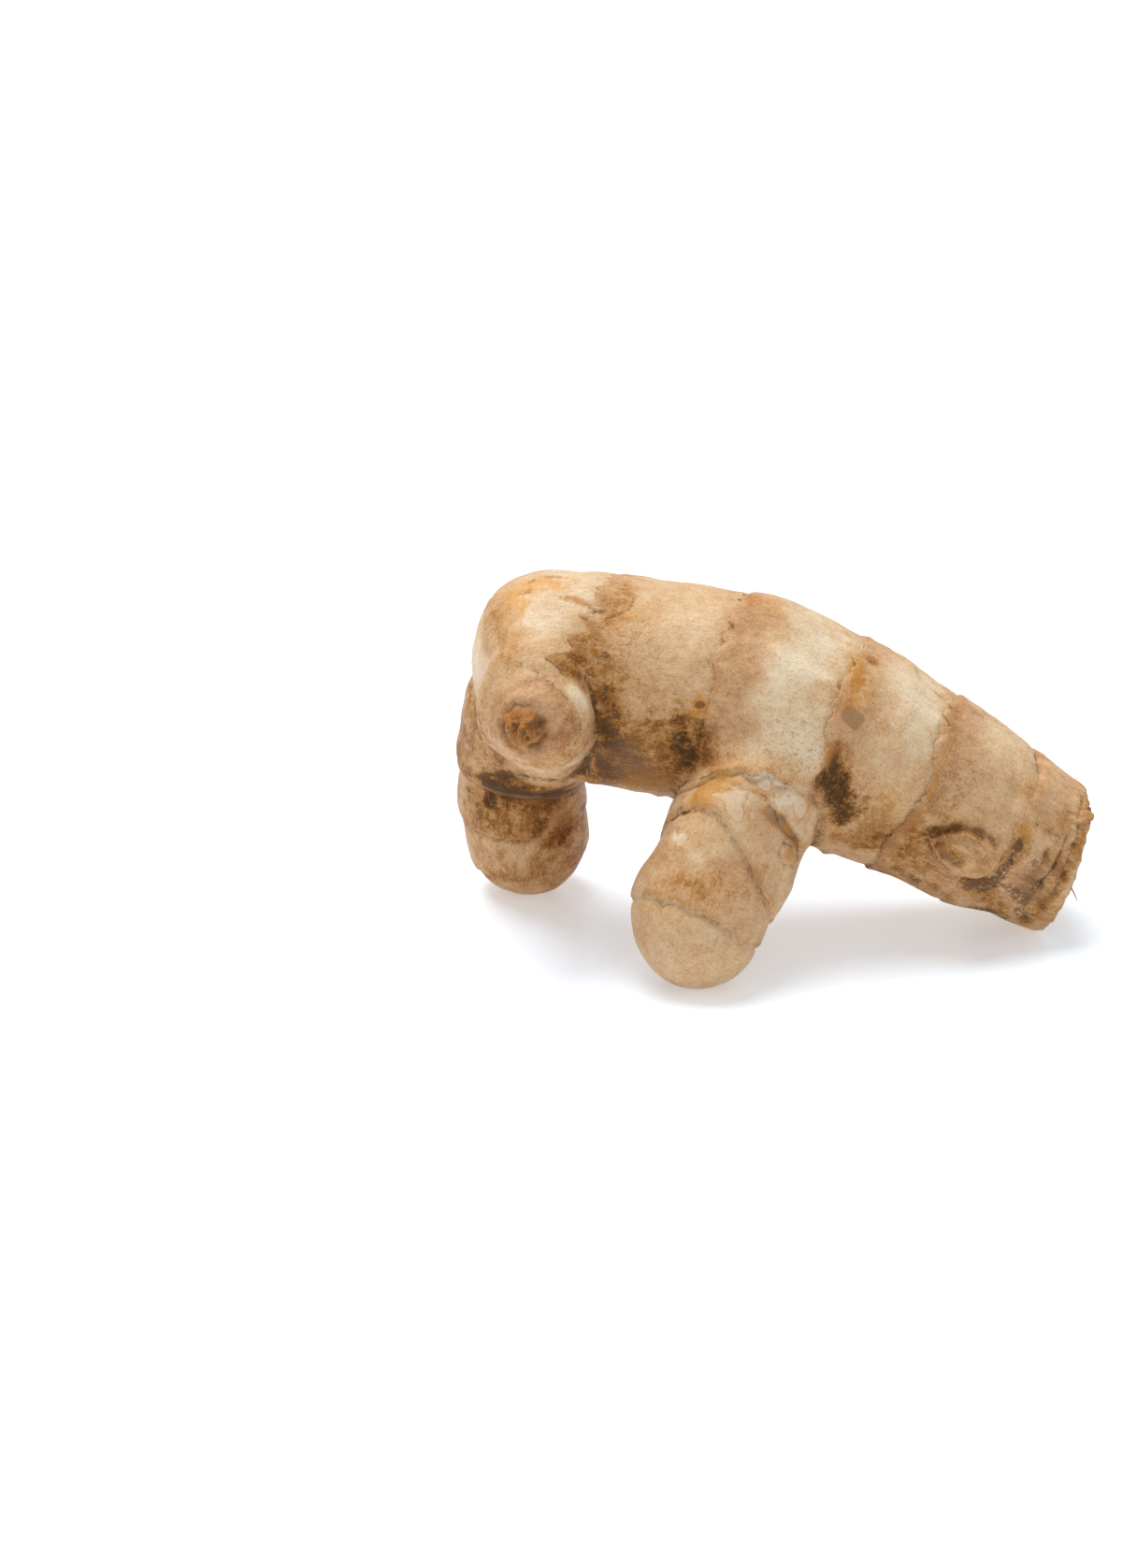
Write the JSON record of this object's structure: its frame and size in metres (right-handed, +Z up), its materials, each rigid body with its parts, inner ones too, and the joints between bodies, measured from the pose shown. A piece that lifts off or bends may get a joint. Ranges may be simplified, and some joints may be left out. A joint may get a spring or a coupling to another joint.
{
  "type": "white turmeric rhizome",
  "caption": "Whole unpeeled rhizome with an arched, ringed main stem, a blunt side stub and the knobbly shoots it stands on; a spice and root vegetable.",
  "frame": {"origin": "on the surface it rests on, under the middle of its bounding box", "axes": "+X along the main stem towards its broken end, -Y towards the front, where the front shoot and the blunt stub grow out, +Z up"},
  "size_m": [0.1178, 0.0658, 0.069],
  "materials": {
    "skin": "dry papery root skin, cream-tan with brown rings, satin"
  },
  "bodies": {
    "root": {"rhizome": "skin"}
  },
  "joints": []
}
